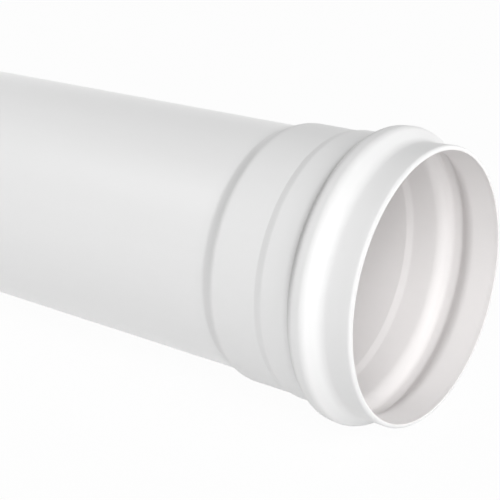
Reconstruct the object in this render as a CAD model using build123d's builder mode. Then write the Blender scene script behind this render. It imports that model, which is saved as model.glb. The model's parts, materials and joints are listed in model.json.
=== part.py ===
from build123d import *
from math import atan2, tan
import os

# White sewer pipe with a ring-seal socket, extruded and belled as one piece.
# Millimetres. The pipe lies along X with its socket facing +X. The origin is on the axis,
# at the bottom of the socket's seat, where the end of the next pipe stops.

# Barrel
pipe_diameter = 101.6
wall = 1.8
overall_length = 1000.0

# Room that the socket leaves round a spigot, on the radius
seat_clearance = 0.65
throat_clearance = 1.35
groove_edge_clearance = 1.6
lip_clearance = 1.05
mouth_clearance = 1.65

# Lengths of the socket's zones along the axis, from the barrel to the mouth
cone_length = 5.8
seat_length = 20.6
step_length = 3.2
throat_length = 12.45
groove_back_length = 3.2
groove_floor_length = 6.0
groove_front_length = 5.0
lip_length = 10.85
rim_length = 2.0

# The ring groove's depth beyond its back edge, and how much its floor rises towards the mouth
groove_depth = 4.15
groove_floor_rise = 0.4

# Outside radii of the hollow bends, and inside radii of the bulging ones
cone_crease = 6.0
seat_inner_bend = 4.8
step_crease = 2.0
step_inner_bend = 6.2
groove_crease = 0.5
groove_inner_bend = 2.2
lip_crease = 5.0
rim_inner_bend = 8.2

# Inside, the groove's back edge is rounder than an even wall would make it
groove_edge_inner_round = 6.0

# Softened edges of the mouth, and the lead-in on the spigot's end
mouth_outer_round_wall_share = 0.7
mouth_inner_round_wall_share = 0.15
spigot_chamfer_length = 3.0
spigot_chamfer_wall_share = 0.45

# Outside radii
pipe_radius = pipe_diameter / 2
seat_radius = pipe_radius + seat_clearance + wall
throat_radius = pipe_radius + throat_clearance + wall
groove_edge_radius = pipe_radius + groove_edge_clearance + wall
bead_back_radius = groove_edge_radius + groove_depth
bead_front_radius = bead_back_radius + groove_floor_rise
lip_radius = pipe_radius + lip_clearance + wall
mouth_radius = pipe_radius + mouth_clearance + wall

# Places along the axis: the seat's straight wall begins at the origin
seat_bend = wall + seat_inner_bend
cone_angle = atan2(seat_radius - pipe_radius, cone_length)
cone_end = -seat_bend * tan(cone_angle / 2)
cone_start = cone_end - cone_length
step_start = cone_end + seat_length
step_end = step_start + step_length
groove_start = step_end + throat_length
bead_start = groove_start + groove_back_length
bead_end = bead_start + groove_floor_length
groove_end = bead_end + groove_front_length
rim_start = groove_end + lip_length
mouth = rim_start + rim_length
spigot_end = mouth - overall_length

# Corners of the outside between the spigot and the mouth, each with its bend's radius outside and inside
bends = [
    ((cone_start, pipe_radius), cone_crease, cone_crease + wall),
    ((cone_end, seat_radius), seat_bend, seat_inner_bend),
    ((step_start, seat_radius), step_crease, step_crease + wall),
    ((step_end, throat_radius), step_inner_bend + wall, step_inner_bend),
    ((groove_start, groove_edge_radius), groove_crease, groove_edge_inner_round),
    ((bead_start, bead_back_radius), groove_inner_bend + wall, groove_inner_bend),
    ((bead_end, bead_front_radius), groove_inner_bend + wall, groove_inner_bend),
    ((groove_end, lip_radius), lip_crease, lip_crease + wall),
    ((rim_start, mouth_radius), rim_inner_bend + wall, rim_inner_bend),
]
corners = [(spigot_end, pipe_radius)] + [corner for corner, _, _ in bends] + [(mouth, mouth_radius)]


# Each corner moves inwards along the sum of its runs' normals, until both runs lie one depth further in
def sunk(corners, depth):
    points = [Vector(*corner) for corner in corners]
    runs = [(end - start).normalized() for start, end in zip(points, points[1:])]
    normals = [Vector(run.Y, -run.X) for run in runs]
    sides = zip(points, normals[:1] + normals, normals + normals[-1:])
    return [point + (before + after) * (depth / (1 + before.dot(after))) for point, before, after in sides]


with BuildPart() as pipe:
    # The wall between its outside and its inside, turned about the axis
    with BuildSketch(Plane.XZ):
        with BuildLine():
            outside = FilletPolyline(*corners, radius=[outer for _, outer, _ in bends])
            inside = FilletPolyline(*sunk(corners, wall), radius=[inner for _, _, inner in bends])
            Line(outside @ 0, inside @ 0)
            Line(outside @ 1, inside @ 1)
        make_face()
    revolve(axis=Axis.X)

    # Both edges of the mouth are softened, the outer one more
    rings = pipe.edges().filter_by(GeomType.CIRCLE)
    mouth_rings = rings.group_by(Axis.X)[-1].sort_by(SortBy.RADIUS)
    fillet(mouth_rings[0], radius=wall * mouth_inner_round_wall_share)
    fillet(mouth_rings[-1], radius=wall * mouth_outer_round_wall_share)

    # The spigot is chamfered outside
    spigot_face = pipe.faces().sort_by(Axis.X)[0]
    chamfer(
        spigot_face.edges().filter_by(GeomType.CIRCLE).sort_by(SortBy.RADIUS)[-1],
        length=wall * spigot_chamfer_wall_share,
        length2=spigot_chamfer_length,
        reference=spigot_face,
    )
pipe.part.label = "pipe"

os.makedirs("parts", exist_ok=True)
export_step(pipe.part, "parts/pipe.step")
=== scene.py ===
import json
import math
import bpy
import numpy as np
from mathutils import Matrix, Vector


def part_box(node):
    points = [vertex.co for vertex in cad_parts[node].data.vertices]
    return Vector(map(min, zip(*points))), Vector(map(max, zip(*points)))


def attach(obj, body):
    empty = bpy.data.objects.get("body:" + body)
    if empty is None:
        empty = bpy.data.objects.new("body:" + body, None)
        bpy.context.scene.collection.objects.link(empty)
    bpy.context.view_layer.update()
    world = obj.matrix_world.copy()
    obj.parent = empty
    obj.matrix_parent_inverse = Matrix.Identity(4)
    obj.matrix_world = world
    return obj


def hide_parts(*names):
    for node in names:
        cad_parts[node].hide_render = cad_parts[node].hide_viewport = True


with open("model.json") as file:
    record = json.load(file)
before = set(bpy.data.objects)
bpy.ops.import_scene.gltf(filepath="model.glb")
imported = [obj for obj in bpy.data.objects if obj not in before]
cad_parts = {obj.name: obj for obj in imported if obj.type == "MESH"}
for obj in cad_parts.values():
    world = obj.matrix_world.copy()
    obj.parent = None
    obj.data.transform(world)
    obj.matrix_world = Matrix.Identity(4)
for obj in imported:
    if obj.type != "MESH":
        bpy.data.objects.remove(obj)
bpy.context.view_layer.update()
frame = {"nodes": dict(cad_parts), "record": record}
mounts = {mount["name"]: mount for mount in frame["record"]["mounts"]}
mm = 0.001
pureWhite = (1, 1, 1, 1)
print("frame loaded:", sorted(frame["nodes"]))


# A socket that takes part in sums: each operator adds one Math node.
class Wire:
    def __init__(self, tree, socket):
        self.tree = tree
        self.socket = socket

    def math(self, operation, *values):
        made = addNode(self.tree, "ShaderNodeMath", {"operation": operation}, dict(enumerate(values)))
        return made("Value")

    def __add__(self, other):
        return self.math("ADD", self, other)

    def __radd__(self, other):
        return self.math("ADD", other, self)

    def __sub__(self, other):
        return self.math("SUBTRACT", self, other)

    def __rsub__(self, other):
        return self.math("SUBTRACT", other, self)

    def __mul__(self, other):
        return self.math("MULTIPLY", self, other)

    def __rmul__(self, other):
        return self.math("MULTIPLY", other, self)

    def __abs__(self):
        return self.math("ABSOLUTE", self)

    def larger(self, other):
        return self.math("MAXIMUM", self, other)


# Any node: settings first, then the value or link of each socket. The result gives its outputs as wires.
def addNode(tree, kind, settings, sockets):
    node = tree.nodes.new(kind)
    for name, value in settings.items():
        setattr(node, name, value)
    for name, value in sockets.items():
        if isinstance(value, Wire):
            tree.links.new(value.socket, node.inputs[name])
        else:
            node.inputs[name].default_value = value
    return lambda output: Wire(tree, node.outputs[output])


def newMaterial(name):
    material = bpy.data.materials.new(name)
    material.use_nodes = True
    material.node_tree.nodes.clear()
    return material, material.node_tree


# The pipe's wall, in millimetres as the part has it: lengths from barrel to mouth, then radii and bends.
pipeShape = {
    "coneLength": 5.8,
    "seatLength": 20.6,
    "stepLength": 3.2,
    "throatLength": 12.45,
    "grooveBackLength": 3.2,
    "grooveFloorLength": 6.0,
    "grooveFrontLength": 5.0,
    "lipLength": 10.85,
    "rimLength": 2.0,
    "throatRise": 0.7,        # outside radius above the seat's: throat, groove's edge, lip and mouth
    "edgeRise": 0.95,
    "lipRise": 0.4,
    "mouthRise": 1.0,
    "grooveDepth": 4.15,
    "grooveFloorRise": 0.4,
    "bends": [6.0, 6.6, 2.0, 8.0, 0.5, 4.0, 4.0, 5.0, 10.0],        # outside, from the cone's foot to the rim
    "edgeInside": 6.0,        # inside, the groove's back edge is rounder than an even wall would make it
    "mouthRounds": [1.26, 0.27],        # outside and inside
    "chamferLength": 3.0,
    "chamferDepth": 0.81,
    "chamferRound": 3.0,
    "spigotRound": 0.12,
    "arcSteps": 10,        # steps round a bend
    "sideSteps": 240,        # sides round the pipe
    "supportGap": 0.3,        # a ring this far from each bend keeps the straight runs flat,
    "supportShare": 0.05,        # or this share of the run, where that is less
}


# Straight runs between corners, each corner replaced by a tangent arc: the heading turns evenly from one run
# to the next, and the arc's points lie one radius from the centre, square to that heading.
def bentLoop(corners, radii, shape):
    runIn = corners - np.roll(corners, 1, axis=0)
    lengthIn = np.linalg.norm(runIn, axis=1)
    runIn = runIn / lengthIn[:, None]
    runOut = np.roll(runIn, -1, axis=0)
    gapIn = np.minimum(shape["supportGap"], lengthIn * shape["supportShare"])
    gapOut = np.roll(gapIn, -1)
    turn = np.arctan2(
        runIn[:, 0] * runOut[:, 1] - runIn[:, 1] * runOut[:, 0],
        (runIn * runOut).sum(1),
    )
    tangent = radii * np.tan(np.abs(turn) / 2)
    start = corners - runIn * tangent[:, None]
    steps = np.linspace(0, 1, shape["arcSteps"] + 1)
    heading = np.arctan2(runIn[:, 1], runIn[:, 0])[:, None] + turn[:, None] * steps
    side = np.sign(turn)[:, None, None] * radii[:, None, None]
    square = np.stack([-np.sin(heading), np.cos(heading)], -1)
    arcs = start[:, None] + side * (square[:, :1] - square)
    before = arcs[:, :1] - (runIn * gapIn[:, None])[:, None]
    after = arcs[:, -1:] + (runOut * gapOut[:, None])[:, None]
    return np.concatenate([before, arcs, after], 1).reshape(-1, 2)


# The wall's section: the outside corners, and the same corners one wall further in. Where two runs meet, the
# inner corner lies along the sum of their normals, and a bend's inner radius grows or shrinks by the wall.
def pipeSection(shape):
    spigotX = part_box("pipe")[0].x / mm
    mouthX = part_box("pipe")[1].x / mm
    pipeRadius = mounts["spigot"]["dims"]["r_mm"]
    wall = pipeRadius - mounts["barrel_bore"]["dims"]["r_mm"]
    seat = mounts["socket"]["dims"]["r_mm"] + wall
    throat = seat + shape["throatRise"]
    edge = seat + shape["edgeRise"]
    beadBack = edge + shape["grooveDepth"]
    beadFront = beadBack + shape["grooveFloorRise"]
    lip = seat + shape["lipRise"]
    mouth = seat + shape["mouthRise"]
    zones = ["cone", "seat", "step", "throat", "grooveBack", "grooveFloor", "grooveFront", "lip", "rim"]
    lengths = np.array([shape[zone + "Length"] for zone in zones])
    places = mouthX - np.append(lengths[::-1].cumsum()[::-1], 0)
    radii = [pipeRadius, seat, seat, throat, edge, beadBack, beadFront, lip, mouth, mouth]
    outer = np.vstack([[spigotX, pipeRadius], np.column_stack([places, radii])])
    run = np.diff(outer, axis=0)
    run = run / np.linalg.norm(run, axis=1)[:, None]
    normal = np.column_stack([-run[:, 1], run[:, 0]])
    before = np.vstack([normal[:1], normal])
    after = np.vstack([normal, normal[-1:]])
    inner = outer - wall * (before + after) / (1 + (before * after).sum(1))[:, None]
    turn = run[:-1, 0] * run[1:, 1] - run[:-1, 1] * run[1:, 0]
    bends = np.array(shape["bends"])
    innerBends = bends + wall * np.sign(turn)
    innerBends[radii.index(edge)] = shape["edgeInside"]
    chamfer = [
        [spigotX, pipeRadius - shape["chamferDepth"]],
        [spigotX + shape["chamferLength"], pipeRadius],
    ]
    corners = np.vstack([chamfer, outer[1:], inner[::-1]])
    rounds = np.concatenate([
        [shape["spigotRound"], shape["chamferRound"]],
        bends,
        shape["mouthRounds"],
        innerBends[::-1],
        [shape["spigotRound"]],
    ])
    section = bentLoop(corners, rounds, shape) * mm
    inside = np.repeat(np.arange(len(corners)) >= len(corners) - len(inner), len(section) // len(corners))
    return outer[:, 0] * mm, section, inside


# The section turned about X: x stays, and the radius goes round Y and Z by the angle. An attribute marks the
# bore as inside.
def turnedPipe(name, section, inside, sides):
    angle = np.arange(sides) * 2 * np.pi / sides
    x = np.repeat(section[:, :1], sides, 1)
    points = np.stack([x, section[:, 1:] * np.sin(angle), section[:, 1:] * np.cos(angle)], -1)
    grid = np.arange(len(section) * sides).reshape(-1, sides)
    ahead = np.roll(grid, -1, axis=0)
    faces = np.stack([grid, np.roll(grid, -1, axis=1), np.roll(ahead, -1, axis=1), ahead], -1).reshape(-1, 4)
    mesh = bpy.data.meshes.new(name)
    mesh.from_pydata(points.reshape(-1, 3).tolist(), [], faces.tolist())
    mesh.polygons.foreach_set("use_smooth", np.ones(len(faces), bool))
    mark = mesh.attributes.new("inside", "FLOAT", "POINT")
    mark.data.foreach_set("value", np.repeat(inside, sides).astype(float))
    mesh.update()
    piece = bpy.data.objects.new(name, mesh)
    bpy.context.scene.collection.objects.link(piece)
    return piece


cornerX, section, inside = pipeSection(pipeShape)
pipe = turnedPipe("sewerPipe", section, inside, pipeShape["sideSteps"])
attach(pipe, "root")
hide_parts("pipe")
print("pipe turned:", len(section), "section points,", len(pipe.data.polygons), "faces")


# The white plastic. Sizes, heights and places are in millimetres.
pvcLook = {
    "white": (0.86, 0.86, 0.86, 1),
    "boreWhite": (0.882, 0.86, 0.856, 1),        # painted light: the bore is a little warmer, standing in for light that comes through the wall
    "shade": (0.79, 0.79, 0.785, 1),        # the darker end of the mottling
    "mottling": 0.12,
    "roughness": 0.55,
    "streakRoughness": 0.12,
    "specular": 0.2,
    "skinRoughness": 0.3,
    "barrelSkin": 0.9,        # the barrel keeps its glossy extruded skin, the reheated socket is duller
    "socketSkin": 0.1,
    "skinFade": (-12.0, -6.0),        # along the pipe
    "streakSize": (600.0, 4.0, 4.0),        # along and across: what the extruder's die leaves
    "streakDetail": 3.0,
    "streakHeight": 0.008,
    "mottleSize": (50.0, 50.0, 50.0),
    "mottleDetail": 2.0,
    "grainSize": (1.2, 1.2, 1.2),
    "grainDetail": 1.0,
    "grainHeight": 0.0015,
    # the colour of the painted shade in the outside creases
    "dust": (0.45, 0.445, 0.44, 1),
    "dustCreases": [        # for the painted crease shade: how far past an outside corner, how far to each side of that, and its share
        {"corner": 1, "past": 4.2, "reach": 3.8, "share": 0.17},        # the cone
        {"corner": 3, "past": 1.6, "reach": 2.4, "share": 0.07},        # the step
        {"corner": 5, "past": 1.6, "reach": 4.6, "share": 0.65},        # the groove's back edge
    ],
    "dustRise": (-8.0, 28.0),        # heights: the painted shade grows darker towards the top
    "dustPlain": 0.6,        # share without grain, and what full grain adds
    "dustGrain": 0.8,
    "cutRoughness": 0.2,        # the spigot's end is sawn and turned
    "cutFade": 0.2,
    "cutRing": 0.3,        # from one turned ring to the next
    "cutHeight": 0.012,
}


def whitePvc(look):
    material, tree = newMaterial("whitePvc")
    place = addNode(tree, "ShaderNodeTexCoord", {}, {})("Object")
    axes = addNode(tree, "ShaderNodeSeparateXYZ", {}, {"Vector": place})
    bore = addNode(tree, "ShaderNodeAttribute", {"attribute_name": "inside"}, {})("Fac")
    outside = 1 - bore

    # A value that goes smoothly from one level to another while the wire goes between two places
    def fade(wire, start, end, low, high):
        return addNode(tree, "ShaderNodeMapRange", {"interpolation_type": "SMOOTHSTEP"}, {
            "Value": wire,
            "From Min": start * mm,
            "From Max": end * mm,
            "To Min": low,
            "To Max": high,
        })("Result")

    # Noise whose cells have these sizes along X, Y and Z: the mapping sets them, and the node's scale stays 1
    def noise(size, detail):
        scale = tuple(1 / (side * mm) for side in size)
        sized = addNode(tree, "ShaderNodeMapping", {}, {"Vector": place, "Scale": scale})("Vector")
        cells = {"Vector": sized, "Scale": 1.0, "Detail": detail}
        return addNode(tree, "ShaderNodeTexNoise", {}, cells)("Fac")

    # A Mix node has sockets for each kind of value, and these are the ones for colours
    firstColour, secondColour, mixedColour = 6, 7, 2

    def blend(share, first, second):
        colours = {"Factor": share, firstColour: first, secondColour: second}
        return addNode(tree, "ShaderNodeMix", {"data_type": "RGBA"}, colours)(mixedColour)

    streaks = noise(look["streakSize"], look["streakDetail"])
    mottles = noise(look["mottleSize"], look["mottleDetail"])
    grain = noise(look["grainSize"], look["grainDetail"])
    skin = fade(axes("X"), *look["skinFade"], look["barrelSkin"], look["socketSkin"])

    # Painted shade in the hollow bends of the outside, darker towards the top and broken up by the grain: a
    # darker colour where shade falls
    dust = 0
    for crease in look["dustCreases"]:
        away = axes("X") - (cornerX[crease["corner"]] + crease["past"] * mm)
        dust = fade(abs(away), 0, crease["reach"], crease["share"], 0) + dust
    upperShade = fade(axes("Z"), *look["dustRise"], 0, 1)
    dust = dust * upperShade * outside * (look["dustPlain"] + look["dustGrain"] * grain)

    # The sawn spigot: its chamfer and end face are matt, with turned rings about the axis
    spigotX = cornerX[0] / mm
    face = fade(axes("X"), spigotX, spigotX + look["cutFade"], 1, 0)
    chamferEnd = spigotX + pipeShape["chamferLength"]
    chamfer = fade(axes("X"), chamferEnd - look["cutFade"], chamferEnd, 1, 0) * outside
    cut = face.larger(chamfer)
    waveLength = math.pi / 10        # from ring to ring in a Wave node of scale 1
    rings = addNode(tree, "ShaderNodeTexWave", {"wave_type": "RINGS", "rings_direction": "X"}, {
        "Vector": place,
        "Scale": waveLength / (look["cutRing"] * mm),
    })("Fac")

    # the bore's warmer white is painted light that comes through the wall
    colour = blend(bore, look["white"], look["boreWhite"])
    colour = blend((mottles + streaks) * look["mottling"], colour, look["shade"])
    # painted shade: the outside creases are darkened, more towards the top
    colour = blend(dust, colour, look["dust"])
    middle = 0.5        # noise goes from 0 to 1 about this
    roughness = look["roughness"] + (streaks - middle) * look["streakRoughness"]
    height = streaks * look["streakHeight"] + grain * look["grainHeight"] + rings * cut * look["cutHeight"]
    relief = addNode(tree, "ShaderNodeBump", {}, {"Height": height, "Distance": mm})("Normal")
    surface = addNode(tree, "ShaderNodeBsdfPrincipled", {}, {
        "Base Color": colour,
        "Roughness": roughness + cut * look["cutRoughness"],
        "Specular IOR Level": look["specular"],
        "Coat Weight": skin * (1 - cut),
        "Coat Roughness": look["skinRoughness"],
        "Normal": relief,
    })
    addNode(tree, "ShaderNodeOutputMaterial", {}, {"Surface": surface("BSDF")})
    return material


pipe.data.materials.append(whitePvc(pvcLook))
print("materials made")


# 1 for a ray that shows the background, straight, mirrored or through glass, and 0 for one that gathers light
def showsBackground(tree):
    rays = addNode(tree, "ShaderNodeLightPath", {}, {})
    shown = rays("Is Camera Ray").larger(rays("Is Glossy Ray"))
    return shown.larger(rays("Is Transmission Ray"))


# The floor touches the bead and the spigot's end, so it leans a little against the pipe's axis.
floorLook = {
    "halfSize": 4.0,
    "white": (0.9, 0.9, 0.9, 1),
    "whiteShare": 0.96,        # shown as plain white, and the rest keeps the shadow
    "spigotReach": 3.3,        # mm: the spigot touches the floor within this of its end
}


# Four corners of a plane: the height falls evenly along X through both places of contact.
def leaningFloor(look):
    bead = section[section[:, 1].argmax()]
    end = section[section[:, 0] < section[:, 0].min() + look["spigotReach"] * mm]
    end = end[end[:, 1].argmax()]
    lean = (bead[1] - end[1]) / (bead[0] - end[0])
    along = np.array([-1, 1, 1, -1]) * look["halfSize"]
    across = np.array([-1, -1, 1, 1]) * look["halfSize"]
    points = np.column_stack([along, across, -bead[1] - lean * (along - bead[0])])
    mesh = bpy.data.meshes.new("floor")
    mesh.from_pydata(points.tolist(), [], [[0, 1, 2, 3]])
    floor = bpy.data.objects.new("floor", mesh)
    bpy.context.scene.collection.objects.link(floor)
    material, tree = newMaterial("paleFloor")
    matt = addNode(tree, "ShaderNodeBsdfDiffuse", {}, {"Color": look["white"]})
    glow = addNode(tree, "ShaderNodeEmission", {}, {"Color": pureWhite, "Strength": 1.0})        # plain white
    mixed = addNode(tree, "ShaderNodeMixShader", {}, {
        0: showsBackground(tree) * look["whiteShare"],        # by number, as both shaders share a name
        1: matt("BSDF"),
        2: glow("Emission"),
    })
    addNode(tree, "ShaderNodeOutputMaterial", {}, {"Surface": mixed("Shader")})
    mesh.materials.append(material)


leaningFloor(floorLook)
print("floor laid")

worldLook = {"ambient": 0.286}        # the strength of the sky's light, while the sky itself shows white


def paleWorld(look):
    world = bpy.data.worlds.new("paleWorld")
    bpy.context.scene.world = world
    world.use_nodes = True
    tree = world.node_tree
    tree.nodes.clear()
    strength = showsBackground(tree) * (1 - look["ambient"]) + look["ambient"]
    sky = addNode(tree, "ShaderNodeBackground", {}, {"Color": pureWhite, "Strength": strength})
    addNode(tree, "ShaderNodeOutputWorld", {}, {"Surface": sky("Background")})


paleWorld(worldLook)

# Soft round lamps: each one looks at a place on the axis and stands at an azimuth and elevation from there,
# in metres and degrees. Three light the front, two low ones the far side and the spigot, and a near one the
# barrel.
lampLook = {
    "keyLamp": {"aim": 0.0, "azimuth": 40, "elevation": 30, "reach": 4.0, "size": 2.4, "watts": 51.0},
    "mouthLamp": {"aim": 0.0, "azimuth": 80, "elevation": 30, "reach": 4.0, "size": 2.4, "watts": 49.7},
    "frontLamp": {"aim": 0.0, "azimuth": 40, "elevation": 10, "reach": 4.0, "size": 2.4, "watts": 37.3},
    "backLamp": {"aim": 0.0, "azimuth": 160, "elevation": 4, "reach": 4.0, "size": 0.8, "watts": 50.0},
    "spigotLamp": {"aim": 0.0, "azimuth": 240, "elevation": 4, "reach": 4.0, "size": 0.8, "watts": 30.0},
    "barrelLamp": {"aim": -0.2, "azimuth": -27, "elevation": 50, "reach": 0.52, "size": 0.3, "watts": 0.265},
}
unmirroredLamps = ["mouthLamp"]        # mirrored, it would turn the barrel white from the spigot's end


def softLamp(name, look):
    data = bpy.data.lights.new(name, "AREA")
    data.shape = "DISK"
    data.size = look["size"]
    data.energy = look["watts"]
    lamp = bpy.data.objects.new(name, data)
    around = math.radians(look["azimuth"])
    above = math.radians(look["elevation"])
    level = look["reach"] * math.cos(above)
    lamp.location = (
        look["aim"] + level * math.sin(around),
        -level * math.cos(around),
        look["reach"] * math.sin(above),
    )
    lamp.rotation_euler = (math.pi / 2 - above, 0, around)
    lamp.visible_camera = False
    lamp.visible_glossy = name not in unmirroredLamps
    bpy.context.scene.collection.objects.link(lamp)


for name, look in lampLook.items():
    softLamp(name, look)

# The camera stands beside the pipe, out in front of the mouth and a little above it.
cameraLook = {
    "azimuth": 37.93,        # degrees
    "elevation": 19.245,
    "lens": 95.56,        # mm
    "sensor": 36.0,        # mm
    "fromMouth": (232.1, -408.2, 177.6),        # mm
    "nearClip": 0.01,        # m
}


def photoCamera(look):
    data = bpy.data.cameras.new("photoCamera")
    data.sensor_width = look["sensor"]
    data.lens = look["lens"]
    data.clip_start = look["nearClip"]
    camera = bpy.data.objects.new("photoCamera", data)
    camera.location = np.array(look["fromMouth"]) * mm + np.array([section[:, 0].max(), 0, 0])
    camera.rotation_euler = (math.radians(90 - look["elevation"]), 0, math.radians(look["azimuth"]))
    bpy.context.scene.collection.objects.link(camera)
    bpy.context.scene.camera = camera


photoCamera(cameraLook)
bpy.context.scene.view_settings.view_transform = "Standard"
print("lights and camera set")
